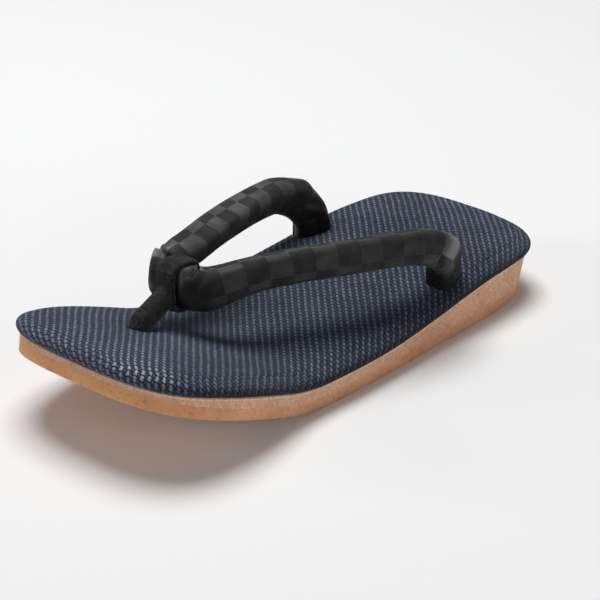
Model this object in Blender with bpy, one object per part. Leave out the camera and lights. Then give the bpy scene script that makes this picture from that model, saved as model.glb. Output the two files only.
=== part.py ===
"""Zori sandal, a left one: outsole, cork wedge, padded footbed, thong strap and toe post.

All lengths are in metres. The floor is z = 0, the toe points to -Y, the heel to +Y, and
the wearer's left side is +X. The toe post stands a little to the big toe's side.
Each piece keeps SEAT_GAP to the piece that it touches.
"""
import math

import bmesh
import bpy
import numpy as np

# Sole
SOLE_LENGTH = 0.2595
SOLE_WIDTH = 0.106
TOE_ROUNDING = 0.056
TOE_FULLNESS = 3.1
HEEL_ROUNDING = 0.036
HEEL_FULLNESS = 3.0
TOE_SPRING = 0.0325
SPRING_LENGTH = 0.098
SPRING_BEND = 0.014
OUTSOLE_THICKNESS = 0.0058
CORK_HEEL = 0.0146
SIDE_LEAN = 0.0012
HEEL_LEAN = 0.0048
TOE_LEAN = -0.0020
SEAT_GAP = 0.0003
SPINE_SETBACK = 0.42

# Footbed
FOOTBED_RIM = 0.0068
FOOTBED_CROWN = 0.0045
FOOTBED_OVERHANG = 0.0023
TOE_OVERHANG = 0.0012

# Strap and toe post
TOE_TO_POST = 0.0452
POST_SHIFT = -0.0088
POST_RADIUS = 0.0051
POST_SEAT = 0.0020
POST_LEAN = 0.0235
POST_RISE = 0.5
STEM_END = (0.55, 0.60)
BAND_WIDTH = 0.0108
BAND_THICKNESS = 0.0023
POST_TO_HOLES = 0.1415
HOLE_SPREAD = 0.0790
STRAP_RISE = 0.0267
KNOT_TILT = 0.0013
STRAP_HALF_WIDTH = 0.0070
STRAP_HALF_HEIGHT = 0.0067
STRAP_FULLNESS = 2.4

# Fineness
END_STEPS = 9
SIDE_STEPS = 15
STRAP_SIDES = 16
STRAP_STATIONS = 40
POST_SIDES = 16
POST_STATIONS = 9
CUTTER_SIDES = 32
CUTTER_REACH = 0.010
MERGE_DISTANCE = 0.00002
SHARP_ANGLE = 40

UPRIGHT = (0, 0, 1)
BACKWARD = (0, 1, 0)

# Half width of the cork's top: share of the length from the toe, share of half the width
WIDTH_TABLE = (
    (0.00, 1.08),
    (0.10, 1.02),
    (0.20, 1.00),
    (0.32, 0.95),
    (0.45, 0.96),
    (0.58, 0.95),
    (0.70, 0.925),
    (0.82, 0.90),
    (0.92, 0.86),
    (1.00, 0.85),
)

# Cork thickness along the sole: share of the length from the toe, share of its thickness at the heel
CORK_TABLE = (
    (0.00, 0.16),
    (0.12, 0.30),
    (0.25, 0.37),
    (0.40, 0.38),
    (0.53, 0.43),
    (0.66, 0.66),
    (0.80, 0.96),
    (1.00, 1.00),
)

# Edge of the footbed from its underside over its roll to the crown: share of the way out from
# the sole's middle line, share of the overhang, share of the rim's height, share of the crown
FOOTBED_EDGE = (
    (0.00, 0.0, 0.00, 0.00),
    (0.50, 0.0, 0.00, 0.00),
    (1.00, 0.0, 0.00, 0.00),
    (1.00, 0.8, 0.18, 0.00),
    (1.00, 1.0, 0.45, 0.00),
    (1.00, 0.5, 0.75, 0.00),
    (1.00, -0.6, 0.94, 0.05),
    (0.92, 0.0, 1.00, 0.25),
    (0.80, 0.0, 1.00, 0.50),
    (0.60, 0.0, 1.00, 0.78),
    (0.35, 0.0, 1.00, 0.95),
    (0.00, 0.0, 1.00, 1.00),
)

# One arm of the strap from the toe's knot to its hole: share of the way back, share of half
# the holes' spread, share of the knot's shift off the middle, share of the rise over the hole,
# share of the left arm's and of the right arm's half width, share of the half height, share of
# the knot's tilt. The right arm is pinched to a crest beside the knot.
ARM_TABLE = (
    (0.000, 0.00, 1.00, 0.84, 0.90, 0.90, 1.34, 0.0),
    (0.000, 0.16, 1.00, 0.84, 0.90, 0.90, 1.34, 0.0),
    (0.000, 0.24, 0.95, 0.84, 0.96, 0.87, 1.34, 0.0),
    (0.020, 0.30, 0.90, 0.87, 1.06, 0.85, 1.28, 0.5),
    (0.060, 0.35, 0.81, 0.92, 1.08, 0.90, 1.20, 1.0),
    (0.110, 0.385, 0.69, 0.96, 1.04, 0.97, 1.10, 1.0),
    (0.180, 0.45, 0.59, 0.99, 1.00, 1.00, 1.02, 0.8),
    (0.350, 0.64, 0.47, 0.99, 1.00, 1.00, 1.00, 0.4),
    (0.520, 0.83, 0.34, 0.95, 1.00, 1.00, 1.00, 0.1),
    (0.650, 0.95, 0.25, 0.915, 1.00, 1.00, 1.00, 0.0),
    (0.740, 1.02, 0.185, 0.885, 1.00, 1.00, 1.04, 0.0),
    (0.820, 1.08, 0.13, 0.83, 0.98, 0.98, 1.12, 0.0),
    (0.890, 1.09, 0.08, 0.72, 0.94, 0.94, 1.22, 0.0),
    (0.950, 1.08, 0.04, 0.56, 0.90, 0.90, 1.28, 0.0),
    (0.988, 1.03, 0.00, 0.35, 0.87, 0.87, 1.28, 0.0),
    (1.000, 1.00, 0.00, 0.16, 0.85, 0.85, 1.27, 0.0),
    (1.000, 1.00, 0.00, 0.00, 0.85, 0.85, 1.27, 0.0),
    (1.000, 1.00, 0.00, -0.16, 0.85, 0.85, 1.27, 0.0),
)


def through(rows, column, share):
    """Smooth curve through one column of a table, read at the shares of its first column."""
    table = np.array(rows)
    known = table[:, 0]
    value = table[:, column]
    step = np.diff(known)
    slope = np.diff(value) / step
    inner = (slope[:-1] * step[1:] + slope[1:] * step[:-1]) / (step[1:] + step[:-1])
    rate = np.concatenate([slope[:1], inner, slope[-1:]])
    share = np.clip(share, known[0], known[-1])
    i = np.clip(np.searchsorted(known, share, side="right") - 1, 0, len(step) - 1)
    u = (share - known[i]) / step[i]
    start = value[i] * (1 + 2 * u) * (1 - u) ** 2 + rate[i] * step[i] * u * (1 - u) ** 2
    end = value[i + 1] * (3 - 2 * u) * u ** 2 - rate[i + 1] * step[i] * (1 - u) * u ** 2
    return start + end


def sole_half_width(share):
    """Half width of the cork's top before its ends are rounded."""
    return SOLE_WIDTH / 2 * through(WIDTH_TABLE, 1, share)


def sole_outline():
    """Outline of the cork's top, once around from the toe, with its outward normals."""
    quarter = np.linspace(0, math.pi / 2, END_STEPS + 1)
    toe_share = TOE_ROUNDING / SOLE_LENGTH
    heel_share = HEEL_ROUNDING / SOLE_LENGTH
    toe = toe_share * (1 - np.cos(quarter) ** (2 / TOE_FULLNESS))
    side = np.linspace(toe_share, 1 - heel_share, SIDE_STEPS + 1)[1:-1]
    heel = 1 - heel_share * (1 - np.cos(quarter[::-1]) ** (2 / HEEL_FULLNESS))
    share = np.concatenate([toe, side, heel])
    full = np.ones(SIDE_STEPS - 1)
    rounding = np.concatenate([
        np.sin(quarter) ** (2 / TOE_FULLNESS), full, np.sin(quarter[::-1]) ** (2 / HEEL_FULLNESS)])
    left = np.stack([sole_half_width(share) * rounding, SOLE_LENGTH * (share - 0.5)], axis=1)
    right = left[-2:0:-1] * (-1, 1)
    points = np.concatenate([left, right])
    along = np.roll(points, -1, axis=0) - np.roll(points, 1, axis=0)
    normals = np.stack([along[:, 1], -along[:, 0]], axis=1)
    return points, normals / np.linalg.norm(normals, axis=1)[:, None]


def share_of(y):
    """Share of the sole's length from the toe."""
    return np.clip(y / SOLE_LENGTH + 0.5, 0, 1)


def floor_side(y):
    """Height of the outsole's underside: flat, then rising to the toe."""
    forward = (SPRING_LENGTH - SOLE_LENGTH / 2 - y) / SPRING_LENGTH
    bend = SPRING_BEND / SPRING_LENGTH
    rise = np.where(forward < 2 * bend, np.clip(forward, 0, None) ** 2 / (4 * bend), forward - bend)
    return TOE_SPRING * rise / (1 - bend)


def cork_bottom(y):
    """Height of the cork's underside."""
    return floor_side(y) + OUTSOLE_THICKNESS + SEAT_GAP


def cork_top(y):
    """Height of the cork's top."""
    return cork_bottom(y) + CORK_HEEL * through(CORK_TABLE, 1, share_of(y))


def footbed_top(x, y):
    """Height of the padded footbed at a place on it."""
    outward = min(abs(x) / float(sole_half_width(share_of(y))), 1)
    rows = sorted((row[0], row[3]) for row in FOOTBED_EDGE if row[2] == 1.0)
    crown = float(through(rows, 1, outward))
    return float(cork_top(y)) + SEAT_GAP + FOOTBED_RIM + FOOTBED_CROWN * crown


def material(name, colour, roughness):
    """Plain Principled material."""
    made = bpy.data.materials.new(name)
    made.use_nodes = True
    shader = made.node_tree.nodes["Principled BSDF"]
    shader.inputs["Base Color"].default_value = (*colour, 1)
    shader.inputs["Roughness"].default_value = roughness
    made.diffuse_color = (*colour, 1)
    return made


def add_object(name, points, faces, collection, look=None):
    """Closed mesh object whose faces point outward."""
    mesh = bpy.data.meshes.new(name)
    mesh.from_pydata(points, [], faces)
    work = bmesh.new()
    work.from_mesh(mesh)
    bmesh.ops.remove_doubles(work, verts=work.verts, dist=MERGE_DISTANCE)
    bmesh.ops.recalc_face_normals(work, faces=work.faces)
    work.to_mesh(mesh)
    work.free()
    mesh.shade_smooth()
    mesh.set_sharp_from_angle(angle=math.radians(SHARP_ANGLE))
    made = bpy.data.objects.new(name, mesh)
    if look:
        mesh.materials.append(look)
    collection.objects.link(made)
    return made


def rings_to_object(name, rings, collection, look):
    """Loft through closed rings of equal count. The first and last ring lie on the middle line."""
    count = len(rings[0])
    points = np.concatenate(rings).tolist()
    faces = []
    for row in range(len(rings) - 1):
        for i in range(count):
            j = (i + 1) % count
            a = row * count
            b = a + count
            faces.append((a + i, a + j, b + j, b + i))
    return add_object(name, points, faces, collection, look)


def spine(points):
    """The place on the sole's middle line that each outline point is drawn in to."""
    reach = SOLE_LENGTH / 2 - SOLE_WIDTH * SPINE_SETBACK
    y = np.clip(points[:, 1], -reach, reach)
    return np.stack([np.zeros(len(y)), y], axis=1)


def ring(share, inset, height):
    """Ring around the sole: the outline moved in by an inset, drawn in by a share, at a height(y)."""
    points, normals = sole_outline()
    moved = points - normals * np.reshape(inset, (-1, 1))
    middle = spine(points)
    plan = middle + (moved - middle) * share
    return np.column_stack([plan, height(plan[:, 1])])


def overhang():
    """How far the footbed stands proud of the cork, around the outline."""
    front = np.clip(-sole_outline()[1][:, 1], 0, None)
    return FOOTBED_OVERHANG + (TOE_OVERHANG - FOOTBED_OVERHANG) * front


def wall_lean():
    """How far the wall has leant in at the floor, around the outline."""
    normals = sole_outline()[1]
    side = SIDE_LEAN * np.abs(normals[:, 0])
    heel = HEEL_LEAN * np.clip(normals[:, 1], 0, None)
    toe = TOE_LEAN * np.clip(-normals[:, 1], 0, None)
    return side + heel + toe


def wall_share():
    """Share of the wall's lean at the seam between cork and outsole, around the outline."""
    y = sole_outline()[0][:, 1]
    return 1 - (cork_bottom(y) - floor_side(y)) / (cork_top(y) - floor_side(y))


def make_outsole(collection, look):
    """Rubber sheet of even thickness that follows the floor side."""
    lean = wall_lean()
    seam = lean * wall_share()

    def top(y):
        return floor_side(y) + OUTSOLE_THICKNESS

    rings = [ring(share, lean, floor_side) for share in (0.0, 0.5, 1.0)]
    rings += [ring(share, seam, top) for share in (1.0, 0.5, 0.0)]
    return rings_to_object("outsole", rings, collection, look)


def make_cork(collection, look):
    """Cork wedge that grows thicker to the heel."""
    seam = wall_lean() * wall_share()
    rings = [ring(share, seam, cork_bottom) for share in (0.0, 0.5, 1.0)]
    rings += [ring(share, 0.0, cork_top) for share in (1.0, 0.5, 0.0)]
    return rings_to_object("cork_wedge", rings, collection, look)


def make_footbed(collection, look):
    """Padded sheet with a rolled edge and a soft crown."""
    rings = []
    for out, proud, rim, crown in FOOTBED_EDGE:
        lift = SEAT_GAP + FOOTBED_RIM * rim + FOOTBED_CROWN * crown

        def height(y, lift=lift):
            return cork_top(y) + lift

        rings.append(ring(out, -overhang() * proud, height))
    return rings_to_object("footbed", rings, collection, look)


def post_place():
    """Place where the toe post goes into the footbed."""
    y = TOE_TO_POST - SOLE_LENGTH / 2
    return POST_SHIFT, y, footbed_top(POST_SHIFT, y)


def hole_place(side):
    """Place where an arm of the strap goes into the footbed."""
    x = side * HOLE_SPREAD / 2
    y = post_place()[1] + POST_TO_HOLES
    return x, y, footbed_top(x, y)


def knot_place():
    """Middle of the strap where the toe post's band holds it."""
    x, y, _ = post_place()
    return x, y + POST_LEAN, hole_place(1)[2] + STRAP_RISE * ARM_TABLE[0][3]


def arm_rows(side, count):
    """Places and half sizes along one arm, from the knot down into its hole.

    The second row is moved to the band's edge, so that the strap runs straight under the band."""
    table = np.array(ARM_TABLE)
    knot = knot_place()
    hole = hole_place(side)
    way = table[:, 0]
    x = side * HOLE_SPREAD / 2 * table[:, 1] + knot[0] * table[:, 2]
    x[1] = knot[0] + side * (BAND_WIDTH / 2 + 2 * SEAT_GAP)
    y = knot[1] + (hole[1] - knot[1]) * way
    z = hole[2] + STRAP_RISE * table[:, 3] - side * KNOT_TILT * table[:, 7]
    half_width = STRAP_HALF_WIDTH * table[:, 4 if side > 0 else 5]
    rows = np.column_stack([x, y, z, half_width, STRAP_HALF_HEIGHT * table[:, 6]])
    length = np.linalg.norm(np.diff(rows[:, :3], axis=0), axis=1)
    reached = np.concatenate([[0], np.cumsum(length)])
    numbered = np.column_stack([reached, rows])
    at = np.concatenate([reached[:2], np.linspace(reached[2], reached[-1], count)])
    return np.column_stack([through(numbered, column, at) for column in range(1, 6)])


def frames(path, first_up):
    """Side and up vectors along a path, turned no more than the path bends."""
    tangent = np.gradient(path, axis=0)
    tangent /= np.linalg.norm(tangent, axis=1)[:, None]
    up = np.array(first_up, dtype=float)
    ups = []
    for t in tangent:
        up = up - t * np.dot(up, t)
        up = up / np.linalg.norm(up)
        ups.append(up)
    ups = np.array(ups)
    return np.cross(tangent, ups), ups


def tube(name, path, side, up, half_width, half_height, fullness, sides, collection, look=None):
    """Closed tube whose section is a rounded oval of changing size."""
    angle = np.linspace(0, 2 * math.pi, sides, endpoint=False)
    cosine = np.sign(np.cos(angle)) * np.abs(np.cos(angle)) ** (2 / fullness)
    sine = np.sign(np.sin(angle)) * np.abs(np.sin(angle)) ** (2 / fullness)
    across = side[:, None, :] * (half_width[:, None] * cosine)[:, :, None]
    upward = up[:, None, :] * (half_height[:, None] * sine)[:, :, None]
    points = (path[:, None, :] + across + upward).reshape(-1, 3)
    faces = []
    for row in range(len(path) - 1):
        for i in range(sides):
            j = (i + 1) % sides
            a = row * sides
            b = a + sides
            faces.append((a + i, a + j, b + j, b + i))
    last = (len(path) - 1) * sides
    faces.append(tuple(range(sides)))
    faces.append(tuple(range(last, last + sides)))
    return add_object(name, points.tolist(), faces, collection, look)


def make_strap(collection, look):
    """One padded tube from the right hole over the knot to the left hole."""
    left = arm_rows(1, STRAP_STATIONS)
    right = arm_rows(-1, STRAP_STATIONS)
    side_left, up_left = frames(left[:, :3], UPRIGHT)
    side_right, up_right = frames(right[:, :3], UPRIGHT)
    rows = np.concatenate([right[:0:-1], left])
    side = np.concatenate([-side_right[:0:-1], side_left])
    up = np.concatenate([up_right[:0:-1], up_left])
    return tube("strap", rows[:, :3], side, up, rows[:, 3], rows[:, 4], STRAP_FULLNESS,
                STRAP_SIDES, collection, look)


def strap_half_at_knot(extra):
    """Half sizes of the strap under the band, with something added all around."""
    first = ARM_TABLE[0]
    return STRAP_HALF_WIDTH * first[4] + extra, STRAP_HALF_HEIGHT * first[6] + extra


def straight_tube(name, start, end, first_up, half_width, half_height, fullness, sides, collection):
    """Closed tube with one section between two places."""
    path = np.array([start, end], dtype=float)
    side, up = frames(path, first_up)
    widths = np.full(2, half_width)
    heights = np.full(2, half_height)
    return tube(name, path, side, up, widths, heights, fullness, sides, collection)


def boolean(target, cutter, operation):
    """Exact Boolean of one object with another, which is hidden from renders."""
    step = target.modifiers.new(cutter.name, "BOOLEAN")
    step.object = cutter
    step.operation = operation
    step.solver = "EXACT"
    cutter.hide_render = True
    cutter.display_type = "WIRE"


def make_post(collection, cutters, look):
    """Cord that comes out of the footbed, leans back and holds the strap in a band."""
    post = post_place()
    knot = knot_place()
    inner = strap_half_at_knot(SEAT_GAP)
    outer = strap_half_at_knot(SEAT_GAP + BAND_THICKNESS)
    stem_end = np.array([knot[0], knot[1] - outer[0] * STEM_END[0], knot[2] - outer[1] * STEM_END[1]])
    start = np.array(post)
    seat = start - (0, 0, FOOTBED_RIM + FOOTBED_CROWN + POST_SEAT)
    bend = start + (0, 0, POST_RADIUS * POST_RISE)
    share = np.linspace(0, 1, POST_STATIONS)[:, None]
    pull = bend + (0, 0, POST_RADIUS)
    curve = bend * (1 - share) ** 2 + pull * 2 * share * (1 - share) + stem_end * share ** 2
    path = np.concatenate([[seat], curve])
    side, up = frames(path, BACKWARD)
    radius = np.full(len(path), POST_RADIUS)
    stem = tube("toe_post", path, side, up, radius, radius, 2.0, POST_SIDES, collection, look)
    half = np.array([BAND_WIDTH / 2, 0, 0])
    band = straight_tube("post_band", knot - half, knot + half, UPRIGHT, *outer, STRAP_FULLNESS,
                         CUTTER_SIDES, cutters)
    space = straight_tube("post_strap_space", knot - 3 * half, knot + 3 * half, UPRIGHT, *inner,
                          STRAP_FULLNESS, CUTTER_SIDES, cutters)
    boolean(stem, band, "UNION")
    boolean(stem, space, "DIFFERENCE")
    return stem


def cut_seats(footbed, cork, cutters):
    """Holes for the toe post and the strap's ends, through the footbed and into the cork."""
    x, y, z = post_place()
    reach = FOOTBED_RIM + FOOTBED_CROWN + POST_SEAT + SEAT_GAP
    radius = POST_RADIUS + SEAT_GAP
    seats = [straight_tube("post_seat", (x, y, z - reach), (x, y, z + CUTTER_REACH), BACKWARD,
                           radius, radius, 2.0, CUTTER_SIDES, cutters)]
    for side, word in ((1, "left"), (-1, "right")):
        rows = arm_rows(side, STRAP_STATIONS)
        _, up = frames(rows[:, :3], UPRIGHT)
        end = rows[-1]
        start = (end[0], end[1], end[2] - SEAT_GAP)
        top = (end[0], end[1], hole_place(side)[2] + CUTTER_REACH)
        seats.append(straight_tube(f"strap_seat_{word}", top, start, up[-1], end[3] + SEAT_GAP,
                                   end[4] + SEAT_GAP, STRAP_FULLNESS, CUTTER_SIDES, cutters))
    for seat in seats:
        boolean(footbed, seat, "DIFFERENCE")
        boolean(cork, seat, "DIFFERENCE")


def main():
    """Builds the sandal in an empty scene."""
    for old in list(bpy.data.objects):
        bpy.data.objects.remove(old, do_unlink=True)
    sandal = bpy.data.collections.new("zori_sandal")
    cutters = bpy.data.collections.new("cutters")
    bpy.context.scene.collection.children.link(sandal)
    bpy.context.scene.collection.children.link(cutters)
    make_outsole(sandal, material("tan sponge rubber", (0.52, 0.24, 0.09), 0.7))
    cork = make_cork(sandal, material("cork", (0.50, 0.28, 0.16), 0.85))
    footbed = make_footbed(sandal, material("navy woven cloth", (0.05, 0.07, 0.13), 0.8))
    black = material("black cloth", (0.015, 0.015, 0.016), 0.75)
    make_strap(sandal, black)
    make_post(sandal, cutters, black)
    cut_seats(footbed, cork, cutters)


main()
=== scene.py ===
"""Looks of a left zori sandal: woven footbed, cork, sponge rubber, padded strap and toe post.

Lengths are in metres. The floor is z = 0, the toe points to -Y and the wearer's left is +X.
"""
import math
from functools import partial

import bmesh
import bpy
import numpy as np
from mathutils import Matrix


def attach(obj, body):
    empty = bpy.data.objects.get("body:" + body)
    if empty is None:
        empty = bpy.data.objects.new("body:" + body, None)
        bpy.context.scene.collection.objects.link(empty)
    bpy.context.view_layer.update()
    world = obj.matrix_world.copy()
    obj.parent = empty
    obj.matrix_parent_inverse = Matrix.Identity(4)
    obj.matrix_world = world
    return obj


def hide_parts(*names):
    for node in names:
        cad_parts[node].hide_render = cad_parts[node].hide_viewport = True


bl_info = {
    "name": "Zori sandal looks",
    "version": (1, 0, 0),
    "blender": (4, 5, 0),
    "location": "3D View > Sidebar > Zori",
    "description": "Dresses the packed zori sandal in woven cloth, cork, rubber and padded straps",
    "category": "Object",
}

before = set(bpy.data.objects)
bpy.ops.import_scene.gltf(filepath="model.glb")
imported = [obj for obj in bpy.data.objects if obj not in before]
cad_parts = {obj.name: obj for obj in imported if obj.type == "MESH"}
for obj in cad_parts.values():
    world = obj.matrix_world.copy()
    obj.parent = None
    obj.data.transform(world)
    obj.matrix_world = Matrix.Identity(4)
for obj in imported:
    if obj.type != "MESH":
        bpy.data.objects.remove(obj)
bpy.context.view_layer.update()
ROOT = "root"
UPRIGHT = (0, 0, 1)
BACKWARD = (0, 1, 0)

# Half width of the cork's top: share of the length from the toe, share of half the width
WIDTH_TABLE = (
    (0.00, 1.08),
    (0.10, 1.02),
    (0.20, 1.00),
    (0.32, 0.95),
    (0.45, 0.96),
    (0.58, 0.95),
    (0.70, 0.925),
    (0.82, 0.90),
    (0.92, 0.86),
    (1.00, 0.85),
)

# Cork thickness: share of the length from the toe, share of its thickness at the heel
CORK_TABLE = (
    (0.00, 0.16),
    (0.12, 0.30),
    (0.25, 0.37),
    (0.40, 0.38),
    (0.53, 0.43),
    (0.66, 0.66),
    (0.80, 0.96),
    (1.00, 1.00),
)

# Cloth from under the footbed over its rolled edge to the crown: share of the way out from the
# sole's middle line, share of the overhang, share of the rim's height, share of the crown
FOOTBED_EDGE = (
    (0.93, 0.0, 0.00, 0.00),
    (1.00, 0.0, 0.00, 0.00),
    (1.00, 0.7, 0.10, 0.00),
    (1.00, 1.0, 0.34, 0.00),
    (1.00, 0.6, 0.62, 0.00),
    (1.00, -0.4, 0.84, 0.02),
    (1.00, -1.5, 0.95, 0.10),
    (0.90, 0.0, 1.00, 0.30),
    (0.80, 0.0, 1.00, 0.50),
    (0.60, 0.0, 1.00, 0.78),
    (0.35, 0.0, 1.00, 0.95),
    (0.00, 0.0, 1.00, 1.00),
)

# One arm of the strap from the toe's knot to its hole: share of the way back, share of half
# the holes' spread, share of the knot's shift off the middle, share of the rise over the hole,
# share of the left arm's and of the right arm's half width, share of the half height, share of
# the knot's tilt. The right arm is pinched to a crest beside the knot.
ARM_TABLE = (
    (0.000, 0.00, 1.00, 0.84, 0.90, 0.90, 1.34, 0.0),
    (0.000, 0.16, 1.00, 0.84, 0.90, 0.90, 1.34, 0.0),
    (0.000, 0.24, 0.95, 0.84, 0.96, 0.87, 1.34, 0.0),
    (0.020, 0.30, 0.90, 0.87, 1.06, 0.85, 1.28, 0.5),
    (0.060, 0.35, 0.81, 0.92, 1.08, 0.90, 1.20, 1.0),
    (0.110, 0.385, 0.69, 0.96, 1.04, 0.97, 1.10, 1.0),
    (0.180, 0.45, 0.59, 0.99, 1.00, 1.00, 1.02, 0.8),
    (0.350, 0.64, 0.47, 0.99, 1.00, 1.00, 1.00, 0.4),
    (0.520, 0.83, 0.34, 0.95, 1.00, 1.00, 1.00, 0.1),
    (0.650, 0.95, 0.25, 0.915, 1.00, 1.00, 1.00, 0.0),
    (0.740, 1.02, 0.185, 0.885, 1.00, 1.00, 1.04, 0.0),
    (0.820, 1.08, 0.13, 0.83, 0.98, 0.98, 1.12, 0.0),
    (0.890, 1.09, 0.08, 0.72, 0.94, 0.94, 1.22, 0.0),
    (0.950, 1.08, 0.04, 0.56, 0.90, 0.90, 1.28, 0.0),
    (0.988, 1.03, 0.00, 0.35, 0.87, 0.87, 1.28, 0.0),
    (1.000, 1.00, 0.00, 0.16, 0.85, 0.85, 1.27, 0.0),
    (1.000, 1.00, 0.00, 0.00, 0.85, 0.85, 1.27, 0.0),
    (1.000, 1.00, 0.00, -0.16, 0.85, 0.85, 1.27, 0.0),
)

# Creases and puffs of the strap's cloth: place along from the right hole (-1) over the knot (0)
# to the left hole (1), angle around in degrees (0 outer, 90 top, 180 inner), slant in degrees
# from the strap's length, half length, half width, height
FOLD_TABLE = (
    (-0.090, 50, 2, 0.0040, 0.0017, 0.0030),
    (-0.100, 78, 68, 0.0042, 0.0008, -0.0028),
    (-0.112, 88, 80, 0.0055, 0.0012, 0.0012),
    (-0.120, 20, 84, 0.0075, 0.0030, -0.0008),
    (-0.085, 120, 60, 0.0060, 0.0011, -0.0014),
    (0.052, 106, 72, 0.0042, 0.0013, 0.0012),
    (0.070, 92, 70, 0.0048, 0.0008, -0.0030),
    (0.086, 98, 64, 0.0036, 0.0013, 0.0010),
    (0.066, 50, 96, 0.0052, 0.0009, -0.0018),
    (0.092, 60, 58, 0.0060, 0.0010, -0.0011),
    (0.104, 102, 14, 0.0070, 0.0010, -0.0012),
    (0.074, 10, 84, 0.0100, 0.0022, -0.0009),
    (0.300, 66, 1, 0.0420, 0.0028, 0.0010),
    (0.620, 62, -1, 0.0400, 0.0028, 0.0010),
    (0.240, 334, 2, 0.0300, 0.0020, 0.0008),
    (0.460, 335, 1, 0.0330, 0.0020, 0.0010),
    (0.680, 337, -1, 0.0260, 0.0020, 0.0009),
    (-0.200, 132, 3, 0.0240, 0.0030, 0.0012),
    (-0.400, 124, 3, 0.0280, 0.0030, 0.0016),
    (-0.600, 112, 4, 0.0260, 0.0030, 0.0014),
    (-0.330, 60, 1, 0.0420, 0.0024, 0.0008),
    (0.820, 338, 62, 0.0022, 0.0019, -0.0030),
    (-0.846, 86, 90, 0.0100, 0.0036, 0.0020),
    (-0.880, 150, 30, 0.0100, 0.0014, -0.0009),
    (-0.905, 215, 72, 0.0060, 0.0011, -0.0012),
)

# Places of the strap painted paler, partly wear at the rear bends and partly painted highlights on
# lit top faces and fold crests: place along, angle around, half length, half width, strength
WEAR_HIGHLIGHT_TABLE = (
    (0.862, 46, 0.0048, 0.0070, 1.0),
    (0.850, 350, 0.0030, 0.0030, 0.6),
    (0.300, 84, 0.0600, 0.0022, 0.35),
    (-0.280, 78, 0.0400, 0.0080, 0.30),
    (-0.580, 78, 0.0350, 0.0080, 0.48),
    (-0.092, 50, 0.0030, 0.0016, 1.0),
    (-0.112, 84, 0.0050, 0.0018, 0.8),
    (0.054, 104, 0.0022, 0.0020, 1.0),
    (0.086, 98, 0.0020, 0.0018, 0.9),
)

# Points around the sole, rows of the footbed's cloth, points along an arm and around the strap
AROUND_SOLE = 720
FOOTBED_ROWS = 90
ALONG_ARM = 240
AROUND_STRAP = 100

# Points around the band, on its section and the stem's, and along the stem
AROUND_BAND = 160
BAND_POINTS = 40
STEM_POINTS = 48
ALONG_STEM = 60

# Points with which a quarter of an end, a side of the sole and a section are first drawn, and the
# distance within which points are merged
QUARTER_POINTS = 500
SIDE_POINTS = 300
SECTION_POINTS = 4001
MERGED = 0.00001

# Rounding of the rubber's lower edge, bevel of the cork's upper edge, and the angles from which
# their edges are shaded sharp
RUBBER_ROUNDING = 0.0007
CORK_BEVEL = 0.0005
RUBBER_SHARP = math.radians(50)
CORK_SHARP = math.radians(35)

# Depth and reach of the dimples where the strap and the post go into the footbed
DIMPLE_DEPTH = 0.0013
DIMPLE_REACH = 0.010

# Heights on the footbed's edge, in rims, between which the shade painted under its roll fades, the
# share of that painted shade which the lit toe loses, and the strength, height and reach of the toe's
# corner, painted pale for wear and as a highlight
TUCK_SHADE_FADE = (0.05, 0.98)
TUCK_SHADE_LOST = 0.7
RUB_HIGHLIGHT_STRENGTH = 0.7
RUB_HIGHLIGHT_HEIGHT = 0.92
RUB_HIGHLIGHT_REACH = 0.36

# Places along an arm between which painted shade darkens the cloth going down into its hole
HOLE_SHADE_FADE = (0.86, 0.96)

# Squares of the checker weave around the strap, and the count at the knot, which sets where they fall
CHECKS_AROUND = 4
CHECKS_AT_KNOT = 21.05

# Half width of the seam's groove, the bump on each side of a trough, how far off it lies in half
# widths, and the softness of a crest's tip
SEAM_HALF_WIDTH = 0.0007
TROUGH_LIP = 0.22
LIP_PLACE = 1.8
CREST_TIP = 0.03

# Spacing of the cord's ribs, and a wave texture's scale times its spacing
CORD_RIB = 0.0009
WAVE_LENGTH = 0.314

# Sections of the band and the stem, 2 an oval and more squarer, and the stem's end on the knot, as
# shares of the strap's half width forward and half height down
BAND_FULLNESS = 3.2
STEM_FULLNESS = 2.2
STEM_END = (0.95, 0.30)

# How far over the footbed the stem's curve starts, in radii, and the place of its pull on the way
STEM_START = 0.2
STEM_PULL = 0.25

# Size of the voxels that melt the cord's two parts together, and rounds of smoothing
SKIN_VOXEL = 0.00045
SKIN_ROUNDS = 3

# Depths below the cork's bevel where the frayed line fades, and the cork's lift off the rubber
FRAY_DEPTHS = (0.0013, 0.0006, 0.0)
CORK_LIFT = 0.00002

# Options of the Mix nodes: a plain blend, a tint by multiplying, and the lighter of two colours
BLEND = {"data_type": "RGBA"}
TINT = {"data_type": "RGBA", "blend_type": "MULTIPLY"}
LIGHTER = {"data_type": "RGBA", "blend_type": "LIGHTEN"}

# The camera's place and what it looks at, half the floor's side, and each lamp's place, diameter
# and the name of its power
CAMERA_PLACE = (0.6003, -0.6587, 0.4447)
CAMERA_TARGET = (0.0035, 0.0015, 0.0235)
FLOOR_REACH = 6.0
LAMPS = (
    ("top_light", (-0.40, 0.16, 1.7), 1.1, "top"),
    ("left_light", (-1.7, -1.5, 0.6), 0.8, "left"),
    ("front_light", (1.5, -0.25, 0.5), 0.8, "front"),
)


def linear(hex_colour):
    """Linear RGBA of an sRGB hex colour."""
    parts = [int(hex_colour[i:i + 2], 16) / 255 for i in (1, 3, 5)]
    return tuple(c / 12.92 if c <= 0.04045 else ((c + 0.055) / 1.055) ** 2.4 for c in parts) + (1.0,)


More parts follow.
